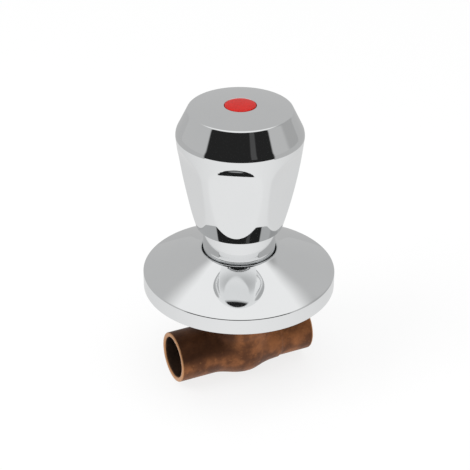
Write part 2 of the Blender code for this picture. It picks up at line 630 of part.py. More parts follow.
def handle_outside(recess):
    """Outer side of the handle, from the rim of the cap's recess down to its lower end."""
    ball = (CHAMFER_RADIUS ** 2 + CROWN_RISE ** 2) / (2 * CROWN_RISE)
    crown_corner = (CHAMFER_RADIUS, CHAMFER_TOP)
    shoulder_corner = (SHOULDER_RADIUS, SHOULDER_HEIGHT)
    crown_steps = 3
    outer = CHAMFER_RADIUS - 2 * CROWN_EDGE_ROUND
    radii = [recess + (outer - recess) * i / crown_steps for i in range(crown_steps + 1)]
    crown = [(r, CHAMFER_TOP + CROWN_RISE - ball + sqrt(ball ** 2 - r ** 2)) for r in radii]
    edge = bend(crown[-1], crown_corner, shoulder_corner, CROWN_EDGE_ROUND, 2)
    under = SHOULDER_HEIGHT - SHOULDER_ROUND
    shoulder = bend(crown_corner, shoulder_corner, (grip_radius(under), under), SHOULDER_ROUND, 3)
    side_steps = 4
    step = (SHOULDER_HEIGHT - SKIRT_HEIGHT) / side_steps
    heights = [SKIRT_HEIGHT + step * i for i in range(side_steps - 1, -1, -1)]
    side = [(grip_radius(h), h) for h in heights]
    skirt = [(HANDLE_NECK + SKIRT_COVE, SKIRT_HEIGHT - SKIRT_COVE / 2),
             (HANDLE_NECK, SKIRT_HEIGHT - 1.5 * SKIRT_COVE)]
    bead = [(HANDLE_NECK, BEAD_HEIGHT), (BEAD_RADIUS - BEAD_EDGE, BEAD_HEIGHT),
            (BEAD_RADIUS, BEAD_HEIGHT - BEAD_EDGE), (BEAD_RADIUS, BEAD_EDGE),
            (BEAD_RADIUS - BEAD_EDGE, 0.0)]
    return crown + edge + shoulder + side + skirt + bead


def handle_profile():
    """Closed section of the handle: outer side down, then cavity, boss, screw well and cap recess."""
    base = HANDLE_BOTTOM
    recess = CAP_RADIUS + FIT
    inner = HANDLE_NECK - HANDLE_WALL
    top = base + CAVITY_TOP
    outside = [(r, base + h) for r, h in handle_outside(recess)]
    cavity = [(inner, base), (inner, base + CAVITY_NECK),
              (CAVITY_WIDEST - CAVITY_TAPER, top - CAVITY_TAPER_DROP), (CAVITY_WIDEST, top - CAVITY_WIDEST_DROP),
              (CAVITY_WIDEST - CAVITY_ROUND, top - CAVITY_ROUND), (BOSS_RADIUS + BOSS_ROOT, top),
              (BOSS_RADIUS, top - BOSS_ROOT)]
    pocket = POCKET_FLATS / 2 - 0.5
    step = CROWN_EDGE + CROWN_RISE - CAP_HEIGHT - FIT
    boss = [(BOSS_RADIUS, INSERT_BOTTOM), (pocket, INSERT_BOTTOM), (pocket, BOSS_FLOOR_BOTTOM),
            (FIXING_RADIUS + FIT, BOSS_FLOOR_BOTTOM), (FIXING_RADIUS + FIT, BOSS_FLOOR_TOP),
            (WELL_RADIUS, BOSS_FLOOR_TOP), (WELL_RADIUS, step), (recess, step)]
    return outside + cavity + boss


def facet_outline():
    """Section outwards of a grip face: upright foot, hollow, leaning face, cove and far side."""
    lean = tan(radians(FACET_TILT))
    steep = tan(radians(FACET_COVE_TILT))
    hollow = FACET_HEIGHT - (FACET_RADIUS - FACET_FOOT) / lean
    arch_radius = grip_radius(FACET_ARCH_TOP)
    meet = arch_radius - steep * FACET_ARCH_TOP - FACET_RADIUS + lean * FACET_HEIGHT
    cove = meet / (lean - steep)
    far = SHOULDER_RADIUS + FACET_CUT_DEPTH
    foot = (FACET_FOOT, SKIRT_HEIGHT - SKIRT_COVE)
    hollow_corner = (FACET_FOOT, hollow)
    cove_corner = (FACET_RADIUS + lean * (cove - FACET_HEIGHT), cove)
    end = (far, FACET_ARCH_TOP + (far - arch_radius) / steep)
    line = [foot] + bend(foot, hollow_corner, cove_corner, FACET_HOLLOW, 2)
    line += bend(hollow_corner, cove_corner, end, FACET_COVE_RADIUS, 4)
    return [(r, HANDLE_BOTTOM + h) for r, h in line + [end, (far, foot[1])]]


def facet_cutter(index):
    """Cutter of one grip face: its section is extruded across the face and turned to its place."""
    half_width = SHOULDER_RADIUS * tan(pi / FACETS)
    upright = Matrix.Rotation(pi / 2, 4, "X")
    turn = Matrix.Rotation(2 * pi * index / FACETS, 4, "Z")
    return extruded(f"facet_{index + 1}", facet_outline(), half_width, turn @ upright, cutter=True)


def handle():
    """One casting: crowned top, chamfer, six coved grip faces above the neck, and the boss inside."""
    grip = turned("handle", handle_profile(), FINE_STEPS)
    pocket = prism("insert_pocket", POCKET_FLATS, INSERT_BOTTOM - 1.0, BOSS_FLOOR_BOTTOM, cutter=True)
    cut(grip, *[facet_cutter(i) for i in range(FACETS)], pocket)
    return finish(grip, CHROME, smooth=24.0)


def fixing_parts():
    """Splined insert in the boss, the fixing screw with its lock washer, and the snap-in cap."""
    insert = prism("spline_insert", INSERT_FLATS, INSERT_BOTTOM, INSERT_TOP)
    half = INSERT_LENGTH / 2
    teeth = star(SPLINE_RADIUS + FIT, SPLINE_RADIUS - SPLINE_DEPTH + FIT, SPLINE_TEETH)
    middle = Matrix.Translation(Vector((0.0, 0.0, (INSERT_BOTTOM + half) * MM)))
    hole = extruded("insert_spline", teeth, half + 1.0, middle, cutter=True)
    cut(insert, hole)
    finish(insert, ACETAL)

    washer_bottom = BOSS_FLOOR_TOP + FIT
    head_bottom = washer_bottom + LOCK_WASHER_THICK + FIT
    head_top = head_bottom + FIXING_HEAD_THICK
    ring("lock_washer", FIXING_RADIUS + FIT, FIXING_HEAD_RADIUS + 0.2, washer_bottom,
         washer_bottom + LOCK_WASHER_THICK, STEEL, steps=TINY_STEPS)
    screw = turned("handle_screw", [(0.0, head_top), (FIXING_HEAD_RADIUS - 0.8, head_top),
                                    (FIXING_HEAD_RADIUS, head_top - 0.9), (FIXING_HEAD_RADIUS, head_bottom),
                                    (FIXING_RADIUS, head_bottom), (FIXING_RADIUS, SPINDLE_TOP - FIXING_ENGAGED + 0.5),
                                    (FIXING_RADIUS - 0.5, SPINDLE_TOP - FIXING_ENGAGED),
                                    (0.0, SPINDLE_TOP - FIXING_ENGAGED)], TINY_STEPS)
    bars = []
    for i in range(2):
        turn = Matrix.Rotation(i * pi / 2, 4, "Z")
        shift = Matrix.Translation(Vector((0.0, 0.0, head_top * MM)))
        bars.append(extruded(f"cross_slot_{i + 1}", [(-2.2, -0.4), (2.2, -0.4), (2.2, 0.4), (-2.2, 0.4)], 1.3,
                             shift @ turn, cutter=True))
    cut(screw, *bars)
    finish(screw, STEEL)

    top = CROWN_EDGE + CROWN_RISE
    bottom = top - CAP_HEIGHT
    inner = CAP_RADIUS - CAP_WALL
    cap = turned("indicator_cap", [(0.0, top + CAP_CROWN), (CAP_RADIUS * 0.6, top + CAP_CROWN * 0.7),
                                   (CAP_RADIUS - 0.3, top - 0.05), (CAP_RADIUS, top - 0.35), (CAP_RADIUS, bottom),
                                   (inner, bottom), (inner, top - CAP_WALL), (0.0, top - CAP_WALL)], SMALL_STEPS)
    finish(cap, RED)


valve_body()
disc_parts()
headwork()
spindle_parts()
sleeve()
rosette_parts()
handle()
fixing_parts()
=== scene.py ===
"""Finish for a concealed stop valve: polished chrome handle, sleeve and rosette over a cast bronze body.

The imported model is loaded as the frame; each operator then makes one piece, or one group of like
pieces, and rides it on its body. Sizes are in millimetres in the code and in metres in the meshes.
Heights are measured along the spindle from the axis of the pipe.
"""

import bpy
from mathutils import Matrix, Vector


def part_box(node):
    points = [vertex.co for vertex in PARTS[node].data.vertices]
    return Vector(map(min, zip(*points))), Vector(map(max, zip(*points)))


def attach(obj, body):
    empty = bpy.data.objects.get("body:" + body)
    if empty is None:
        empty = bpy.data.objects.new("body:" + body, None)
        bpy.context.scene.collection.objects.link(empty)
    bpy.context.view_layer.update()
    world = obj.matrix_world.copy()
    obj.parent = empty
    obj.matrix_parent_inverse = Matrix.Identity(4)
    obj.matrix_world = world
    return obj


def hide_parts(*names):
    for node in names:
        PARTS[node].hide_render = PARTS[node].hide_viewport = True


bl_info = {
    "name": "Concealed stop valve",
    "version": (1, 0, 0),
    "blender": (4, 5, 0),
    "location": "View3D > Sidebar > Valve",
    "description": "Builds the chrome trim, the cast body and the stage of a concealed stop valve",
    "category": "Object",
}

from math import atan, cos, pi, radians, sin, sqrt, tan

import bmesh
import bpy
import numpy as np
from bpy.props import FloatProperty, FloatVectorProperty, IntProperty, PointerProperty
from mathutils import Matrix, Vector

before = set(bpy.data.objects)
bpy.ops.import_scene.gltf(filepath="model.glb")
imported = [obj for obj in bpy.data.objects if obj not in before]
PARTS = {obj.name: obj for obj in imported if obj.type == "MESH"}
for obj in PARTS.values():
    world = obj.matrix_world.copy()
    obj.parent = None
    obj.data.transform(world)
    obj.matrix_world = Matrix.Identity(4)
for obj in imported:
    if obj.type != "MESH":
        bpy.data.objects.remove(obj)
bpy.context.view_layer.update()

MM = 0.001
MERGE_DISTANCE = 0.0002 * MM


def top_of(node):
    """Height of a CAD node's highest point, in millimetres."""
    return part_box(node)[1][2] / MM


def foot_of(node):
    """Height of a CAD node's lowest point, in millimetres."""
    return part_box(node)[0][2] / MM


def reach_of(node):
    """Largest radius of a CAD node that is round about the spindle, in millimetres."""
    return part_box(node)[1][0] / MM


# Profiles

def rounded(corners, arc_steps=8, longest=1.0):
    """Polyline through (x, y, radius) corners, each turned into a circular arc tangent to its two sides.

    The tangent length at a corner is radius * tan(turn / 2); the arc's centre lies on the bisector at
    radius / cos(turn / 2) from the corner. Straight runs longer than longest are divided evenly.
    """
    points = np.array([c[:2] for c in corners], float)
    runs = [points[:1]]
    for i in range(1, len(corners) - 1):
        corner, radius = points[i], corners[i][2]
        before = (points[i - 1] - corner) / np.linalg.norm(points[i - 1] - corner)
        after = (points[i + 1] - corner) / np.linalg.norm(points[i + 1] - corner)
        turn = pi - np.arccos(np.clip(before @ after, -1, 1))
        if radius <= 0 or turn < 0.01:
            runs.append(corner[None])
            continue
        reach = radius * tan(turn / 2)
        middle = (before + after) / np.linalg.norm(before + after)
        centre = corner + middle * radius / cos(turn / 2)
        start, end = corner + before * reach - centre, corner + after * reach - centre
        share = np.linspace(0, 1, max(2, arc_steps))[:, None]
        # Spherical interpolation keeps every point on the arc
        curve = (np.sin((1 - share) * turn) * start + np.sin(share * turn) * end) / sin(turn)
        runs.append(centre + curve)
    runs.append(points[-1:])
    line = np.concatenate(runs)
    pieces = []
    for a, b in zip(line[:-1], line[1:]):
        count = max(1, int(np.ceil(np.linalg.norm(b - a) / longest)))
        pieces.append(a + (b - a) * (np.arange(count) / count)[:, None])
    return np.concatenate(pieces + [line[-1:]])


def smooth_least(a, b, width):
    """Smaller of two fields, blended over width: a + h (b - a) - width h (1 - h), with h from 0 to 1."""
    h = np.clip(0.5 + 0.5 * (a - b) / width, 0, 1)
    return a + h * (b - a) - width * h * (1 - h)


def smooth_most(a, b, width):
    """Larger of two fields, blended over width."""
    return -smooth_least(-a, -b, width)


# Meshes

def new_object(name, points, faces):
    """Object at the origin with its place in its mesh, smooth shaded; points in millimetres."""
    mesh = bpy.data.meshes.new(name)
    faces = np.asarray(faces, np.int32)
    mesh.vertices.add(len(points))
    mesh.vertices.foreach_set("co", (np.asarray(points) * MM).astype(np.float32).ravel())
    mesh.loops.add(faces.size)
    mesh.loops.foreach_set("vertex_index", faces.ravel())
    mesh.polygons.add(len(faces))
    mesh.polygons.foreach_set("loop_start", np.arange(0, faces.size, faces.shape[1], dtype=np.int32))
    mesh.polygons.foreach_set("use_smooth", np.ones(len(faces), bool))
    mesh.update(calc_edges=True)
    mesh.validate()
    obj = bpy.data.objects.new(name, mesh)
    bpy.context.scene.collection.objects.link(obj)
    return obj


def clean(obj):
    """Merge doubled points, such as those of a pole, and turn all faces outwards."""
    bm = bmesh.new()
    bm.from_mesh(obj.data)
    bmesh.ops.remove_doubles(bm, verts=bm.verts, dist=MERGE_DISTANCE)
    bmesh.ops.recalc_face_normals(bm, faces=bm.faces)
    if bm.calc_volume(signed=True) < 0:
        bmesh.ops.reverse_faces(bm, faces=bm.faces)
    for face in bm.faces:
        face.smooth = True
    bm.to_mesh(obj.data)
    bm.free()
    return obj


def grid_faces(rows, columns, close_rows):
    """Quads of a grid of points whose columns run round and close, and whose rows may close as well."""
    last = rows if close_rows else rows - 1
    row = np.arange(last)[:, None]
    column = np.arange(columns)[None, :]
    up, along = (row + 1) % rows, (column + 1) % columns
    quads = np.stack([row * columns + column, up * columns + column, up * columns + along,
                      row * columns + along], axis=-1)
    return quads.reshape(-1, 4)


def turned(name, profile, segments):
    """Surface of revolution: profile point (r, h) goes to (r cos t, r sin t, h) for t round the spindle.

    A profile whose ends lie on the axis is closed by its poles; any other is a closed ring.
    """
    angle = np.linspace(0, 2 * pi, segments, endpoint=False)[None, :]
    r, h = profile[:, :1], profile[:, 1:2]
    height = np.repeat(h, segments, axis=1)
    points = np.stack([r * np.cos(angle), r * np.sin(angle), height], axis=-1).reshape(-1, 3)
    ring = profile[0, 0] > 1e-6
    return clean(new_object(name, points, grid_faces(len(profile), segments, ring)))


def skin(name, field, low, high, step):
    """Surface where field(x, y, z) is zero, by dual contouring on a cubic grid.

    Each grid cell that the surface crosses gets one point, the mean of the crossings on its edges, which
    then slides down the field's gradient, p - f g / |g|^2, on to the surface. Each crossed grid edge gives
    the quad of its four cells.
    """
    axes = [np.arange(a, b + step, step) for a, b in zip(low, high)]
    value = field(*np.meshgrid(*axes, indexing="ij"))
    cells = tuple(n - 1 for n in value.shape)
    total, count = np.zeros(cells + (3,)), np.zeros(cells)
    crossed = []
    for axis in range(3):
        near = [slice(None)] * 3
        far = [slice(None)] * 3
        near[axis], far[axis] = slice(None, -1), slice(1, None)
        a, b = value[tuple(near)], value[tuple(far)]
        cross = (a < 0) != (b < 0)
        share = np.where(cross, a / np.where(cross, a - b, 1), 0)
        lines = [axes[k][: cross.shape[k]].reshape([-1 if k == m else 1 for m in range(3)]) for k in range(3)]
        place = np.stack(np.broadcast_arrays(*lines), axis=-1).astype(float)
        place[..., axis] += share * step
        others = [k for k in range(3) if k != axis]
        for shift in ((0, 0), (0, 1), (1, 0), (1, 1)):
            part = [slice(None)] * 3
            for k, move in zip(others, shift):
                part[k] = slice(move, move + cells[k])
            hit = cross[tuple(part)]
            total += np.where(hit[..., None], place[tuple(part)], 0)
            count += hit
        crossed.append((cross, a < 0))
    used = count > 0
    number = np.full(cells, -1)
    number[used] = np.arange(used.sum())
    points = total[used] / count[used][:, None]
    for _ in range(4):
        points -= descent(field, points)
    quads = []
    for axis, (cross, inward) in enumerate(crossed):
        u, v = [(1, 2), (2, 0), (0, 1)][axis]
        inner = [slice(None)] * 3
        inner[u], inner[v] = slice(1, -1), slice(1, -1)
        index = np.argwhere(cross[tuple(inner)])
        flip = inward[tuple(inner)][cross[tuple(inner)]]
        index[:, u] += 1
        index[:, v] += 1
        corners = []
        for du, dv in ((0, 0), (1, 0), (1, 1), (0, 1)):
            cell = index.copy()
            cell[:, u] -= du
            cell[:, v] -= dv
            corners.append(number[cell[:, 0], cell[:, 1], cell[:, 2]])
        quad = np.stack(corners, axis=1)
        quads.append(np.where(flip[:, None], quad, quad[:, ::-1]))
    return clean(new_object(name, points, np.concatenate(quads)))


def descent(field, points, nudge=0.01):
    """Step from each point to the zero of the field's linear part, by central differences."""
    x, y, z = points.T
    here = field(x, y, z)
    slope = np.stack([field(x + nudge, y, z) - field(x - nudge, y, z),
                      field(x, y + nudge, z) - field(x, y - nudge, z),
                      field(x, y, z + nudge) - field(x, y, z - nudge)], axis=1) / (2 * nudge)
    size = np.maximum((slope ** 2).sum(axis=1), 0.25)
    return slope * np.clip(here, -0.3, 0.3)[:, None] / size[:, None]


# Shader expressions

class Wire:
    """An output socket that takes part in sums, products and other maths as a Python value does."""

    def __init__(self, shader, socket):
        self.shader, self.socket = shader, socket

    def math(self, operation, *others):
        return self.shader.node("ShaderNodeMath", {"operation": operation}, self, *others)

    def __add__(self, other):
        return self.math("ADD", other)

    __radd__ = __add__

    def __sub__(self, other):
        return self.math("SUBTRACT", other)

    def __rsub__(self, other):
        return self.shader.node("ShaderNodeMath", {"operation": "SUBTRACT"}, other, self)

    def __mul__(self, other):
        return self.math("MULTIPLY", other)

    __rmul__ = __mul__

    def __truediv__(self, other):
        return self.math("DIVIDE", other)

    def __pow__(self, other):
        return self.math("POWER", other)

    def band(self, start, end, low=0.0, high=1.0):
        """Smooth step from low at start to high at end."""
        settings = {"interpolation_type": "SMOOTHSTEP"}
        return self.shader.node("ShaderNodeMapRange", settings, self, start, end, low, high)


class Shader:
    """Node tree of one finish, built by expressions."""

    def __init__(self, tree):
        self.tree = tree
        tree.nodes.clear()

    def node(self, kind, settings=None, *values, output=0, **named):
        """One node: its settings are set first, then its inputs, by order or by name with _ for a space."""
        made = self.tree.nodes.new(kind)
        for key, value in (settings or {}).items():
            setattr(made, key, value)
        for target, value in list(enumerate(values)) + [(k.replace("_", " "), v) for k, v in named.items()]:
            self.feed(made.inputs[target], value)
        return Wire(self, made.outputs[output])

    def feed(self, socket, value):
        """Link a wire to a socket, or set the socket's own value."""
        if isinstance(value, Wire):
            self.tree.links.new(value.socket, socket)
        elif value is not None:
            if isinstance(value, (tuple, list)) and socket.type == "RGBA" and len(value) == 3:
                value = (*value, 1.0)
            socket.default_value = value

    def place(self):
        """Object coordinates in metres."""
        return self.node("ShaderNodeTexCoord", None, output=3)

    def axes(self, vector):
        """The three components of a vector, in millimetres when the vector is the place."""
        made = self.tree.nodes.new("ShaderNodeSeparateXYZ")
        self.feed(made.inputs[0], vector)
        return [Wire(self, out) * (1 / MM) for out in made.outputs]

    def stretched(self, vector, scale):
        return self.node("ShaderNodeVectorMath", {"operation": "MULTIPLY"}, vector, scale)

    def noise(self, vector, size, detail=3.0, roughness=0.55, distortion=0.0):
        """Noise between 0 and 1 whose largest lumps are about size millimetres wide."""
        return self.node("ShaderNodeTexNoise", None, Vector=vector, Scale=1 / (size * MM), Detail=detail,
                         Roughness=roughness, Distortion=distortion)

    def mix(self, share, low, high):
        """Colour between low and high."""
        made = self.tree.nodes.new("ShaderNodeMix")
        made.data_type = "RGBA"
        self.feed(made.inputs[0], share)
        self.feed(made.inputs[6], low)
        self.feed(made.inputs[7], high)
        return Wire(self, made.outputs[2])

    def bump(self, height, depth):
        """Surface normal of a height between 0 and 1 that stands for depth millimetres."""
        return self.node("ShaderNodeBump", None, Strength=1.0, Distance=depth * MM, Height=height)

    def surface(self, closure):
        made = self.tree.nodes.new("ShaderNodeOutputMaterial")
        self.tree.links.new(closure.socket, made.inputs["Surface"])

    def principled(self, **named):
        self.surface(self.node("ShaderNodeBsdfPrincipled", None, **named))


def finish(name):
    """A new material and the shader that builds its nodes."""
    material = bpy.data.materials.new(name)
    material.use_nodes = True
    return material, Shader(material.node_tree)


def polished_chrome(name, color, roughness=0.035, wave=0.0004):
    """Polished plating: faint buffing waves, a little haze and hairline wipes."""
    material, s = finish(name)
    place = s.place()
    waves = s.noise(place, 9.0, detail=1.0)
    haze = s.noise(place, 14.0, detail=4.0)
    hairs = s.noise(s.stretched(place, (1.0, 1.0, 14.0)), 3.0, detail=6.0, roughness=0.7)
    tone = s.mix(haze.band(0.3, 0.8), tuple(c * 0.985 for c in color), color)
    rough = roughness * (0.8 + 0.4 * haze) + 0.02 * hairs.band(0.62, 0.8)
    s.principled(Base_Color=tone, Metallic=1.0, Roughness=rough, Normal=s.bump(waves, wave))
    return material


def cast_bronze(name, props):
    """Browned casting: mottled tone, sand texture, brighter where tools cut the rims, with painted shade in
    the bores and on the inlet socket's upper side.
    """
    material, s = finish(name)
    place = s.place()
    x, y, z = s.axes(place)
    wide = s.noise(place, 8.0, detail=4.0, roughness=0.6)
    mottle = s.noise(place, 1.6, detail=5.0, roughness=0.65)
    sand = s.noise(place, 0.45, detail=3.0, roughness=0.6)
    tone = s.mix(wide.band(0.35, 0.68), tuple(props.bronze_dark), tuple(props.bronze_light))
    tone = s.mix(mottle.band(0.55, 0.75, 0.0, 0.5), tone, tuple(props.bronze_bright))
    tone = s.mix(mottle.band(0.25, 0.42, 0.6, 0.0), tone, tuple(props.bronze_dark))
    radius = (y * y + z * z) ** 0.5
    along = x.math("ABSOLUTE")
    # The cut rims are the sockets' last half millimetre; the bore lies within 7.7 mm of the pipe's axis
    rim = along.band(26.35, 26.75)
    # Painted shade: the bores are darkened nearly to black, where shade falls inside the sockets
    bore = (1 - radius.band(7.5, 7.9)) * along.band(10.0, 14.0)
    # Painted shade: the inlet socket's upper side is darker than the bowl and the undersides, standing for
    # the rosette's shadow on it
    upper = (z + 2.0 * wide).band(1.0, 5.0) * x.band(-4.0, -8.0)
    tone = s.mix(upper * 0.8, tone, tuple(0.5 * c for c in props.bronze_dark))
    tone = s.mix(rim * 0.85, tone, tuple(props.bronze_cut))
    # Painted shade inside the bores
    tone = s.mix(bore * 0.92, tone, tuple(props.bore_painted_shade))
    rough = 0.42 + 0.2 * mottle - 0.16 * rim + 0.15 * bore
    normal = s.bump(0.6 * mottle + 0.4 * sand, 0.16)
    s.principled(Base_Color=tone, Metallic=0.75, Roughness=rough, Normal=normal)
    return material


def turned_metal(name, color, roughness):
    """Lathe-cut metal: fine rings along the spindle and slight tone changes."""
    material, s = finish(name)
    place = s.place()
    rings = s.noise(s.stretched(place, (0.15, 0.15, 1.0)), 0.25, detail=2.0)
    tarnish = s.noise(place, 5.0, detail=4.0)
    tone = s.mix(tarnish.band(0.35, 0.75), tuple(c * 0.8 for c in color), color)
    s.principled(Base_Color=tone, Metallic=1.0, Roughness=roughness * (0.75 + 0.5 * rings),
                 Normal=s.bump(rings, 0.02))
    return material


def moulded(name, color, roughness, grain, specular=0.5):
    """Moulded rubber, fibre or plastic: fine grain with a mottled tone."""
    material, s = finish(name)
    place = s.place()
    grains = s.noise(place, grain, detail=4.0)
    cloud = s.noise(place, 4.0, detail=3.0)
    tone = s.mix(cloud.band(0.3, 0.7), tuple(c * 0.9 for c in color), color)
    rough = roughness * (0.85 + 0.3 * grains)
    s.principled(Base_Color=tone, Metallic=0.0, Roughness=rough, Specular_IOR_Level=specular,
                 Normal=s.bump(grains, 0.01))
    return material


# User settings

def size_property(label, words, default, low, high):
    return FloatProperty(name=label, description=words, default=default, min=low, max=high, precision=2)


def color_property(label, words, default):
    return FloatVectorProperty(name=label, description=words, default=default, size=3,
                               subtype="COLOR", min=0.0, max=1.0)


class VALVE_PG_handle(bpy.types.PropertyGroup):
    """Sizes of the handle, in millimetres above the pipe's axis or from the spindle."""
    shoulder_height: size_property(
        "Shoulder height", "Height of the crease above the grip, mm", 87.4, 84.0, 90.0)
    shoulder_radius: size_property(
        "Shoulder radius", "Radius of the crease before it is rounded, mm", 22.66, 20.0, 24.0)
    crown_radius: size_property("Crown radius", "Radius of the crown's edge, mm", 18.35, 15.0, 20.0)
    facet_radius: size_property(
        "Facet distance", "Spindle to grip face at the face's middle height, mm", 17.5, 15.0, 20.0)
    facet_slope: size_property("Facet slope", "Outward run of a grip face per mm of height", 0.152, 0.0, 0.4)
    facet_foot: size_property(
        "Facet foot", "Spindle to the upright foot of a grip face, mm", 16.5, 15.0, 18.0)
    facet_cove: size_property(
        "Facet cove", "Radius of the cove at the top of each grip face, mm", 18.9, 1.0, 30.0)
    neck_radius: size_property("Neck radius", "Radius of the neck under the grip, mm", 13.15, 12.0, 14.0)
    edge_width: size_property("Edge width", "Width over which face and cone blend, mm", 0.22, 0.05, 2.0)
    segments: IntProperty(
        name="Segments", description="Points round the handle", default=360, min=96, max=720)


class VALVE_PG_trim(bpy.types.PropertyGroup):
    """Sizes of the rosette and sleeve, in millimetres."""
    rise: size_property(
        "Rise", "Height of the rosette's cone from rim to bore, mm", 8.8, 2.0, 12.0)
    bulge: size_property("Bulge", "How far the face bows above a straight cone, mm", 0.35, -1.0, 2.0)
    turn_up: size_property(
        "Turn-up", "How far the face rises above the cone at its bore, mm", 1.1, 0.0, 2.0)
    hub_rounding: size_property(
        "Hub rounding", "Radius of the rounding between face and bore, mm", 0.8, 0.1, 1.5)
    edge_radius: size_property(
        "Rim rounding", "Radius of the rounding between face and rim, mm", 0.55, 0.1, 2.0)
    sleeve_rounding: size_property(
        "Sleeve rounding", "Radius of the sleeve's upper edge, mm", 0.7, 0.1, 2.0)


class VALVE_PG_body(bpy.types.PropertyGroup):
    """Colours of the casting and the step of its surface grid."""
    grid_step: size_property(
        "Grid step", "Spacing of the grid the casting's skin is drawn on, mm", 0.42, 0.3, 1.5)
    bronze_dark: color_property("Dark bronze", "Tone of the casting's hollows", (0.13, 0.048, 0.020))
    bronze_light: color_property("Light bronze", "Main tone of the casting", (0.36, 0.138, 0.050))
    bronze_bright: color_property("Bright bronze", "Tone of rubbed spots", (0.50, 0.21, 0.08))
    bronze_cut: color_property("Cut bronze", "Tone of the tool-cut rims", (0.62, 0.32, 0.15))
    # Painted shade: near-black colour for the shade inside the sockets' bores
    bore_painted_shade: color_property("Bore", "Tone inside the sockets", (0.03, 0.022, 0.018))


class VALVE_PG_finish(bpy.types.PropertyGroup):
    """Colours of the bright and moulded pieces."""
    chrome: color_property("Chrome", "Reflection colour of the plating", (0.80, 0.81, 0.815))
    red: color_property("Red", "Colour of the indicator cap", (0.48, 0.008, 0.004))


class VALVE_PG_stage(bpy.types.PropertyGroup):
    """Camera and light."""
    distance: size_property("Distance", "Camera to the rosette's rim plane, m", 0.5273, 0.2, 2.0)
    elevation: size_property("Elevation", "Camera's height angle, degrees", 31.375, 0.0, 89.0)
    azimuth: size_property("Azimuth", "Camera's turn about the spindle, degrees", -25.86, -180.0, 180.0)
    lens: size_property("Lens", "Focal length for a 36 mm frame, mm", 110.05, 20.0, 300.0)


GROUPS = (("handle", VALVE_PG_handle), ("trim", VALVE_PG_trim), ("body", VALVE_PG_body),
          ("finish", VALVE_PG_finish), ("stage", VALVE_PG_stage))


def settings(context, group):
    return getattr(context.scene, "valve_" + group)


# Handle

def facet_distance(height, props):
    """Distance of a grip face from the spindle at each height, measured at right angles to the face.

    An upright foot runs through a slack hollow into a line that leans outwards; a cove of radius
    facet_cove turns that into a steeper line, which leaves the grip's side at the top of the arch.
    """
    middle, arch, arch_radius, steep = 65.0, 83.9, 22.3, 0.69
    slope = props.facet_slope
    hollow = middle - (props.facet_radius - props.facet_foot) / slope
    meet = (arch_radius - steep * arch - props.facet_radius + slope * middle) / (slope - steep)
    low, high, hollow_radius = 30.0, 100.0, 40.0
    line = [(low, props.facet_foot, 0.0), (hollow, props.facet_foot, hollow_radius),
            (meet, props.facet_radius + slope * (meet - middle), props.facet_cove),
            (high, arch_radius + steep * (high - arch), 0.0)]
    curve = rounded(line, arc_steps=24)
    return np.interp(height, curve[:, 0], curve[:, 1])


def handle_outline(props):
    """Outer side of the handle's round form, from the cap's recess down to its lower end."""
    recess = reach_of("indicator_cap") + 0.15
    crown_top, crown_edge, crown_round = 97.78, 96.2, 0.8
    ball = (props.crown_radius ** 2 + (crown_top - crown_edge) ** 2) / (2 * (crown_top - crown_edge))
    r = np.linspace(recess, props.crown_radius - 2.0, 14)
    dome = [(a, crown_top - ball + sqrt(ball * ball - a * a), 0.0) for a in r]
    shoulder_round = 5.0
    shoulder = (props.shoulder_radius, props.shoulder_height, shoulder_round)
    side_start, side_end, lean, bow = 3.0, 36.2, 0.09, 0.0028
    # The grip's side: radius falls by lean d + bow d^2 at d below the shoulder
    side = [(props.shoulder_radius - lean * d - bow * d * d, props.shoulder_height - d, 0.0)
            for d in np.linspace(side_start, side_end, 24)]
    side[-1] = (*side[-1][:2], 0.3)
    neck, foot = props.neck_radius, foot_of("handle")
    flare_top, neck_top = 50.7, 50.1
    lower = [(neck + 0.5, flare_top, 0.3), (neck, neck_top, 0.4), (neck, foot, 0.35),
             (neck - 1.0, foot, 0.1)]
    corners = [(recess, crown_top - 1.0, 0.0), (recess, crown_top - 0.15, 0.2)] + dome[1:]
    corners += [(props.crown_radius, crown_edge + 0.02, crown_round), shoulder] + side + lower
    return rounded(corners, arc_steps=9, longest=0.8)


def handle_inside(outline):
    """Inner side of the handle, from its lower end up into the cavity, down the boss and up to the cap."""
    foot = foot_of("handle")
    neck_bore, neck_length = 10.95, 10.0
    # Cavity: radius and height above the handle's foot, with the radius of each corner
    cavity = [(15.4, 35.5, 4.0), (16.1, 43.5, 4.0), (14.2, 50.5, 2.0), (9.0, 52.4, 2.0)]
    boss, boss_foot, boss_root = 7.35, foot_of("spline_insert"), 50.8
    pocket, pocket_top = 6.25, top_of("spline_insert") + 0.3
    screw_hole, floor_top = 2.2, pocket_top + 3.3
    well, recess, step = 4.6, outline[0, 0], top_of("indicator_cap") - 3.75
    corners = [(outline[-1, 0] - 0.5, foot, 0.3), (neck_bore, foot + 0.3, 0.2),
               (neck_bore, foot + neck_length, 2.0)]
    corners += [(r, foot + h, rounding) for r, h, rounding in cavity]
    corners += [(boss, foot + boss_root, 1.0), (boss, boss_foot, 0.4), (pocket, boss_foot, 0.2),
                (pocket, pocket_top, 0.3), (screw_hole, pocket_top, 0.1), (screw_hole, floor_top, 0.1),
                (well, floor_top, 0.2), (well, step, 0.2), (recess, step, 0.1), (recess, step + 0.5, 0.0)]
    return rounded(corners, arc_steps=4, longest=4.0)


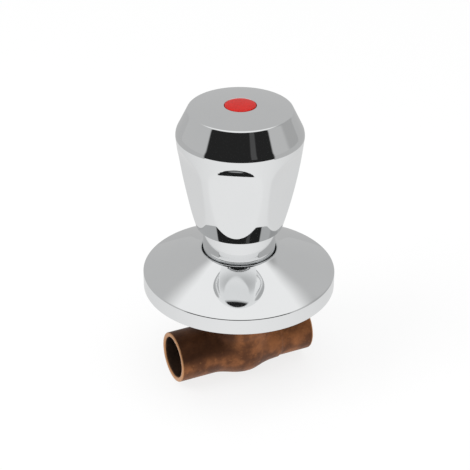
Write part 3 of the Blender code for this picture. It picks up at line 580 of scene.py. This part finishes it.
class VALVE_OT_handle(bpy.types.Operator):
    """Builds the chrome handle: a round, crowned form cut by six coved grip faces"""
    bl_idname = "valve.handle"
    bl_label = "Handle"

    def execute(self, context):
        props = settings(context, "handle")
        outer = handle_outline(props)
        inner = handle_inside(outer)
        angle = np.linspace(0, 2 * pi, props.segments, endpoint=False)[None, :]
        # Angle from the middle of the nearest of the six faces
        sixth = pi / 3
        off = (angle + sixth / 2) % sixth - sixth / 2
        face = facet_distance(outer[:, 1:2], props) / np.cos(off)
        cut = smooth_least(outer[:, :1] + 0 * off, face, props.edge_width)
        grip_foot = 51.0
        grip = (outer[:, 1:2] < props.shoulder_height) & (outer[:, 1:2] > grip_foot)
        radius = np.where(grip, cut, outer[:, :1])
        inside = np.repeat(inner[:, :1], props.segments, axis=1)
        radius = np.concatenate([radius, inside])
        height = np.concatenate([outer[:, 1:2], inner[:, 1:2]]) + 0 * angle
        points = np.stack([radius * np.cos(angle), radius * np.sin(angle), height], axis=-1).reshape(-1, 3)
        shell = clean(new_object("handle_shell", points, grid_faces(len(height), props.segments, True)))
        color = tuple(settings(context, "finish").chrome)
        shell.data.materials.append(polished_chrome("handle_chrome", color))
        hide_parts("handle")
        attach(shell, "grip")
        return {"FINISHED"}


class VALVE_OT_cap(bpy.types.Operator):
    """Builds the red indicator cap, a shallow dome with a rounded edge and a hollow back"""
    bl_idname = "valve.cap"
    bl_label = "Indicator cap"

    def execute(self, context):
        top, foot = top_of("indicator_cap"), foot_of("indicator_cap")
        radius, wall, crown_fall = reach_of("indicator_cap"), 1.1, 0.008
        # Crown: height falls by crown_fall r^2
        crown = np.linspace(0.0, radius - 0.8, 8)
        corners = [(0.0, top, 0.0)] + [(r, top - crown_fall * r * r, 0.0) for r in crown[1:]]
        corners += [(radius, top - 0.3, 0.35), (radius, foot, 0.2), (radius - wall, foot, 0.1),
                    (radius - wall, top - 1.4, 0.4), (0.0, top - 1.3, 0.0)]
        cap = turned("indicator_cap_dome", rounded(corners, arc_steps=6, longest=0.8), 128)
        color = tuple(settings(context, "finish").red)
        cap.data.materials.append(moulded("indicator_red", color, 0.3, 0.35, 0.25))
        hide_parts("indicator_cap")
        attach(cap, "grip")
        return {"FINISHED"}


# Rosette and sleeve

class VALVE_OT_rosette(bpy.types.Operator):
    """Builds the rosette: a cone, turned up at its bore, with a turned rim and the hub that holds its seal"""
    bl_idname = "valve.rosette"
    bl_label = "Rosette"

    def execute(self, context):
        props = settings(context, "trim")
        back, rim_radius = foot_of("rosette"), reach_of("rosette")
        rim_top = back + 6.0
        bore, sheet = settings(context, "handle").neck_radius + 0.3, 1.1
        span = rim_radius - bore
        share = np.linspace(0.0, 0.97, 28)
        # Face height: straight fall from bore to rim, a bow of 4 s (1 - s) and a turn-up of (1 - 2 s)^3
        up = np.maximum(1 - 2 * share, 0) ** 3
        bow = 4 * share * (1 - share)
        height = rim_top + props.rise * (1 - share) + props.bulge * bow + props.turn_up * up
        face = list(zip(bore + span * share, height))
        groove = bore + 1.42
        hub, hub_top = groove + sheet, face[0][1]
        seal_foot, seal_top = foot_of("rosette_seal"), top_of("rosette_seal")
        under = [(r, h - sheet) for r, h in face if hub + 0.6 < r < rim_radius - sheet - 1.5]
        hub_foot = seal_foot - 1.0
        lip = hub_foot + 0.7
        corners = [(bore, hub_top - 1.6, 0.0), (bore, hub_top, props.hub_rounding)]
        corners += [(*p, 0.0) for p in face[1:] if p[0] > bore + 1.4]
        corners += [(rim_radius, rim_top, props.edge_radius), (rim_radius, back, 0.25),
                    (rim_radius - sheet, back, 0.2), (rim_radius - sheet, under[-1][1] - 0.3, 0.5)]
        corners += [(*p, 0.0) for p in under[::-1]]
        corners += [(hub, under[0][1] + 0.1, 0.5), (hub, hub_foot, 0.25), (bore, hub_foot, 0.15),
                    (bore, lip, 0.1), (groove, lip, 0.1), (groove, seal_top + 0.3, 0.1),
                    (bore, seal_top + 0.3, 0.0)]
        rosette = turned("rosette_shell", rounded(corners, arc_steps=7, longest=0.8), 480)
        color = tuple(settings(context, "finish").chrome)
        rosette.data.materials.append(polished_chrome("rosette_chrome", color))
        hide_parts("rosette")
        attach(rosette, "trim")
        return {"FINISHED"}


class VALVE_OT_sleeve(bpy.types.Operator):
    """Builds the chrome sleeve between rosette and handle, with its rounded upper edge and inner web"""
    bl_idname = "valve.sleeve"
    bl_label = "Sleeve"

    def execute(self, context):
        props = settings(context, "trim")
        radius, top, foot = reach_of("sleeve"), top_of("sleeve"), foot_of("sleeve")
        inner, nose, web_thick = radius - 1.6, 9.2, 3.5
        web_top = top_of("headwork_housing") - 1.0
        web_foot = web_top - web_thick
        corners = [(inner, top - 0.6, 0.0), (inner, top, 0.25), (radius, top, props.sleeve_rounding),
                   (radius, foot, 0.3), (inner, foot, 0.2), (inner, web_foot, 0.1), (nose, web_foot, 0.1),
                   (nose, web_top, 0.1), (inner, web_top, 0.0)]
        sleeve = turned("sleeve_shell", rounded(corners, arc_steps=6, longest=0.8), 192)
        color = tuple(settings(context, "finish").chrome)
        sleeve.data.materials.append(polished_chrome("sleeve_chrome", color, roughness=0.06))
        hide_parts("sleeve")
        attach(sleeve, "valve")
        return {"FINISHED"}


# Cast body

def pipe_cone(x, y, z, start, end, start_radius, end_radius):
    """Field of a cone along X from start to end, negative inside, with flat ends."""
    share = np.clip((x - start) / (end - start), 0, 1)
    side = np.sqrt(y * y + z * z) - (start_radius + (end_radius - start_radius) * share)
    return np.maximum(side, np.maximum(start - x, x - end))


def socket_hollow(x, across):
    """Field of both sockets' bores, with their stops and their flared mouths."""
    inlet, outlet, stop, bore = -26.9, 27.1, 15.0, 7.55
    mouth = smooth_most(across - bore, stop - np.abs(x), 0.3)
    flare = across - (bore + 0.55) + np.minimum(x - inlet, outlet - x)
    return np.minimum(mouth, np.maximum(flare, 20.0 - np.abs(x)))


def body_field(x, y, z):
    """Signed field of the casting: sockets, bowl and neck blended together, less its bores and chambers."""
    inlet, outlet, socket = -26.9, 27.1, 9.45
    across = np.sqrt(y * y + z * z)
    around = np.sqrt(x * x + y * y)
    sockets = smooth_most(across - socket, np.maximum(inlet - x, x - outlet), 0.5)
    bowl_radius, bowl_foot, bowl_top, bowl_round = 12.0, -11.25, 9.0, 12.6
    side = smooth_most(around - bowl_radius, bowl_foot - z, bowl_round)
    bowl = smooth_most(side, z - bowl_top, 1.0)
    neck_radius, neck_foot, neck_top = 12.6, 8.0, 22.0
    neck = smooth_most(smooth_most(around - neck_radius, neck_foot - z, 3.0), z - neck_top, 0.5)
    outlet_cone = pipe_cone(x, y, z, 2.0, 13.0, 10.8, 9.3)
    solid = smooth_least(bowl, neck, 1.5)
    solid = smooth_least(solid, outlet_cone, 1.5)
    # The fillet between bowl and pipe narrows from the inlet's side to the outlet's
    fillet = 3.0 - np.clip((x + 4.0) / 10.0, 0, 1)
    solid = smooth_least(solid, sockets, fillet)
    thread_radius, chamber_radius, well_radius, seat_bore, seat_radius = 10.4, 9.3, 5.0, 5.0, 6.4
    thread = np.maximum(around - thread_radius, 12.0 - z)
    chamber = smooth_most(around - chamber_radius, 3.2 - z, 0.6)
    well = np.maximum(smooth_most(around - well_radius, -9.4 - z, 1.0), z - 8.0)
    way_in = np.maximum(np.sqrt(y * y + (z + 3.0) ** 2) - 4.2, np.maximum(-16.0 - x, x - 3.0))
    way_out = np.maximum(np.sqrt(y * y + (z - 3.2) ** 2) - 4.0, np.maximum(6.4 - x, x - 16.2))
    hollow = socket_hollow(x, across)
    for room in (thread, chamber, well, way_in, way_out):
        hollow = np.minimum(hollow, room)
    ring = np.maximum(around - seat_radius, seat_bore - around)
    seat = np.maximum(ring, np.maximum(2.0 - z, z - 4.0))
    return np.minimum(np.maximum(solid, -hollow), seat)


class VALVE_OT_body(bpy.types.Operator):
    """Builds the cast body with its sockets, bowl, neck, seat and passages"""
    bl_idname = "valve.body"
    bl_label = "Cast body"

    def execute(self, context):
        props = settings(context, "body")
        low, high = (-28.0, -13.5, -12.6), (28.2, 13.5, 23.2)
        body = skin("body_casting", body_field, low, high, props.grid_step)
        body.data.materials.append(cast_bronze("cast_bronze", props))
        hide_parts("valve_body")
        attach(body, "valve")
        return {"FINISHED"}


# Inner pieces

class VALVE_OT_inner(bpy.types.Operator):
    """Gives the headwork, spindle, disc, seals and fixings their finishes"""
    bl_idname = "valve.inner"
    bl_label = "Inner pieces"

    def execute(self, context):
        brass = turned_metal("turned_brass", (0.72, 0.53, 0.25), 0.3)
        steel = turned_metal("stainless_steel", (0.62, 0.62, 0.62), 0.32)
        rubber = moulded("black_rubber", (0.028, 0.028, 0.028), 0.7, 0.5)
        fibre = moulded("red_fibre", (0.3, 0.07, 0.045), 0.85, 0.25)
        slip = moulded("white_slip_plastic", (0.8, 0.8, 0.78), 0.4, 0.5)
        acetal = moulded("natural_acetal", (0.78, 0.77, 0.72), 0.45, 0.5)
        chosen = {
            brass: ("headwork_housing", "gland_nut", "spindle", "disc_carrier"),
            steel: ("clamp_washer", "disc_screw", "lock_washer", "handle_screw"),
            rubber: ("disc_washer", "lower_o_ring", "upper_o_ring", "rosette_seal"),
            fibre: ("body_gasket",),
            slip: ("lower_slip_washer", "upper_slip_washer"),
            acetal: ("spline_insert",),
        }
        for material, names in chosen.items():
            for name in names:
                PARTS[name].data.materials.clear()
                PARTS[name].data.materials.append(material)
        return {"FINISHED"}


# Stage

def camera_axes(azimuth, elevation, roll):
    """Right, up and backward directions of a camera that looks at the spindle, turned by roll."""
    a, e = radians(azimuth), radians(elevation)
    back = np.array([sin(a) * cos(e), -cos(a) * cos(e), sin(e)])
    right = np.array([cos(a), sin(a), 0.0])
    up = np.cross(back, right)
    c, s = cos(radians(roll)), sin(radians(roll))
    return c * right + s * up, c * up - s * right, back


def front_side(x, y, azimuth):
    """Reach of a point or direction towards the camera, its turn in degrees, and its share of the dark front.

    The front spans about 60 degrees either way of the camera and fades over 4 degrees at its two ends.
    """
    a = radians(azimuth)
    toward = x * sin(a) - y * cos(a)
    aside = x * cos(a) + y * sin(a)
    turn = aside.math("ARCTAN2", toward) * (180 / pi)
    return toward, turn, turn.band(-64.0, -60.0) * (1 - turn.band(58.0, 62.0))


class VALVE_OT_stage(bpy.types.Operator):
    """Builds the pale floor, the studio surroundings, the lamps and the camera"""
    bl_idname = "valve.stage"
    bl_label = "Stage"

    def execute(self, context):
        props = settings(context, "stage")
        self.camera(context, props)
        self.floor(context, props)
        self.world(context, props)
        self.lamps(context, props)
        context.scene.view_settings.view_transform = "Standard"
        return {"FINISHED"}

    def camera(self, context, props):
        """Camera at the photograph's angle, turned a little to bring the rim's centre to its place."""
        roll = 0.515
        rim_plane = 32.09
        aim = Vector((0.0, 0.0, rim_plane * MM))
        right, up, back = (Vector(v) for v in camera_axes(props.azimuth, props.elevation, roll))
        frame_px, sensor = 470.0, 36.0
        # Where the rim's centre lies in the picture, in pixels from its upper left corner
        rim_centre_x, rim_centre_y = 238.917, 267.583
        focal = props.lens / sensor * frame_px
        u, v = rim_centre_x - frame_px / 2, rim_centre_y - frame_px / 2
        turn = Matrix.Rotation(atan(u / focal), 3, up) @ Matrix.Rotation(atan(v / focal), 3, right)
        data = bpy.data.cameras.new("camera")
        data.lens, data.sensor_width = props.lens, sensor
        data.clip_start, data.clip_end = 0.01, 50.0
        camera = bpy.data.objects.new("camera", data)
        context.scene.collection.objects.link(camera)
        basis = Matrix((turn @ right, turn @ up, turn @ back)).transposed()
        camera.matrix_world = Matrix.Translation(aim + back * props.distance) @ basis.to_4x4()
        context.scene.camera = camera

    def floor(self, context, props):
        """Large pale floor just under the body.

        Metal mirrors a white table on it, which reaches 260 mm in front and 195 mm elsewhere and is
        brightest in front, and round that the dark front and the grey sides of the room. To reflections the
        floor glows with this as painted light; the table's front is brighter as if more light fell there.
        """
        gap, half = 0.2 * MM, 6.0
        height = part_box("valve_body")[0][2] - gap
        corners = [(-half, -half, height), (half, -half, height), (half, half, height), (-half, half, height)]
        mesh = bpy.data.meshes.new("floor")
        mesh.from_pydata(corners, [], [(0, 1, 2, 3)])
        floor = bpy.data.objects.new("floor", mesh)
        context.scene.collection.objects.link(floor)
        material, s = finish("floor_white")
        seen = s.node("ShaderNodeLightPath", None, output=0)
        mirrored = s.node("ShaderNodeLightPath", None, output=3)
        paint = s.node("ShaderNodeBsdfDiffuse", None, Color=(0.82, 0.82, 0.82))
        glow = s.node("ShaderNodeEmission", None, Color=(1.0, 1.0, 1.0), Strength=1.0)
        x, y, _ = s.axes(s.place())
        far = (x * x + y * y) ** 0.5
        toward, _, front = front_side(x, y, props.azimuth)
        # Painted light: the mirrored table is brighter towards the camera's side, as if more light fell there
        table = 0.83 + 0.11 * (toward / far)
        beyond = 0.52 - front * 0.5
        table_side, table_front = 195.0, 260.0
        edge = table_side + (table_front - table_side) * front
        level = beyond + far.band(edge + 2.0, edge - 2.0) * (table - beyond)
        tone = s.mix(level, (0.0, 0.0, 0.0), (1.0, 1.0, 1.0))
        room = s.node("ShaderNodeEmission", None, Color=tone, Strength=1.0)
        shown = s.node("ShaderNodeMixShader", None, seen * 0.8, paint, glow)
        s.surface(s.node("ShaderNodeMixShader", None, mirrored, shown, room))
        floor.data.materials.append(material)

    def world(self, context, props):
        """White to the camera; to the metal, a grey room with a dark front and a bright ceiling."""
        world = bpy.data.worlds.new("studio")
        world.use_nodes = True
        context.scene.world = world
        s = Shader(world.node_tree)
        direction = s.node("ShaderNodeTexCoord", None, output=0)
        made = s.tree.nodes.new("ShaderNodeSeparateXYZ")
        s.feed(made.inputs[0], direction)
        x, y, z = (Wire(s, out) for out in made.outputs)
        _, turn, front = front_side(x, y, props.azimuth)
        height = z.math("ARCSINE") * (180 / pi)
        dark = front * (1 - height.band(39.0, 45.0))
        # A paler slit in the dark front and a darker corner of the room, by turn in degrees
        slit = turn.band(18.0, 21.0) * (1 - turn.band(28.0, 31.0))
        corner = turn.band(88.0, 98.0) * (1 - turn.band(126.0, 136.0))
        wall, corner_fall, ceiling = 0.56, 0.12, 1.05
        walls = wall - corner_fall * corner
        walls = walls + (ceiling - walls) * height.band(44.0, 60.0)
        level = walls * (1 - dark) + dark * (0.02 + 0.06 * slit)
        tone = s.mix(level, (0.0, 0.0, 0.0), (1.0, 1.0, 1.0))
        mirrored = s.node("ShaderNodeBackground", None, tone, 1.0)
        soft = s.node("ShaderNodeBackground", None, (1.0, 1.0, 1.0, 1.0), 0.75)
        plain = s.node("ShaderNodeBackground", None, (1.0, 1.0, 1.0, 1.0), 1.0)
        glossy = s.node("ShaderNodeLightPath", None, output=3)
        seen = s.node("ShaderNodeLightPath", None, output=0)
        lit = s.node("ShaderNodeMixShader", None, glossy, soft, mirrored)
        out = s.node("ShaderNodeMixShader", None, seen, lit, plain)
        end = s.tree.nodes.new("ShaderNodeOutputWorld")
        s.tree.links.new(out.socket, end.inputs["Surface"])

    def lamps(self, context, props):
        """Two soft lamps, left of the camera and above; the chrome doesn't mirror them."""
        lamp_distance = 1.4
        lamps = (("key_lamp", -60.0, 42.0, 0.9, 9.0), ("top_lamp", 40.0, 75.0, 1.1, 7.0))
        for name, azimuth, elevation, size, power in lamps:
            data = bpy.data.lights.new(name, "AREA")
            data.shape, data.size, data.energy = "DISK", size, power
            lamp = bpy.data.objects.new(name, data)
            context.scene.collection.objects.link(lamp)
            back = Vector(camera_axes(props.azimuth + azimuth, elevation, 0.0)[2])
            lamp.location = back * lamp_distance
            lamp.rotation_mode = "QUATERNION"
            lamp.rotation_quaternion = (-back).to_track_quat("-Z", "Y")
            lamp.visible_glossy = False
            lamp.visible_camera = False


OPERATORS = (VALVE_OT_handle, VALVE_OT_cap, VALVE_OT_rosette, VALVE_OT_sleeve, VALVE_OT_body, VALVE_OT_inner,
             VALVE_OT_stage)


class VALVE_PT_panel(bpy.types.Panel):
    """Sidebar panel that lists the valve's operators and sizes"""
    bl_idname = "VALVE_PT_panel"
    bl_label = "Concealed stop valve"
    bl_space_type = "VIEW_3D"
    bl_region_type = "UI"
    bl_category = "Valve"

    def draw(self, context):
        for operator in OPERATORS:
            self.layout.operator(operator.bl_idname)
        for group, kind in GROUPS:
            box = self.layout.box()
            box.label(text=group.title())
            for key in kind.__annotations__:
                box.prop(settings(context, group), key)


def register():
    for kind in [k for _, k in GROUPS] + list(OPERATORS) + [VALVE_PT_panel]:
        bpy.utils.register_class(kind)
    for group, kind in GROUPS:
        setattr(bpy.types.Scene, "valve_" + group, PointerProperty(type=kind))


def unregister():
    for group, _ in GROUPS:
        delattr(bpy.types.Scene, "valve_" + group)
    for kind in [VALVE_PT_panel] + list(OPERATORS)[::-1] + [k for _, k in GROUPS][::-1]:
        bpy.utils.unregister_class(kind)


def main():
    """Register the add-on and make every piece."""
    register()
    for operator in OPERATORS:
        group, name = operator.bl_idname.split(".")
        getattr(getattr(bpy.ops, group), name)()


if __name__ == "__main__":
    main()
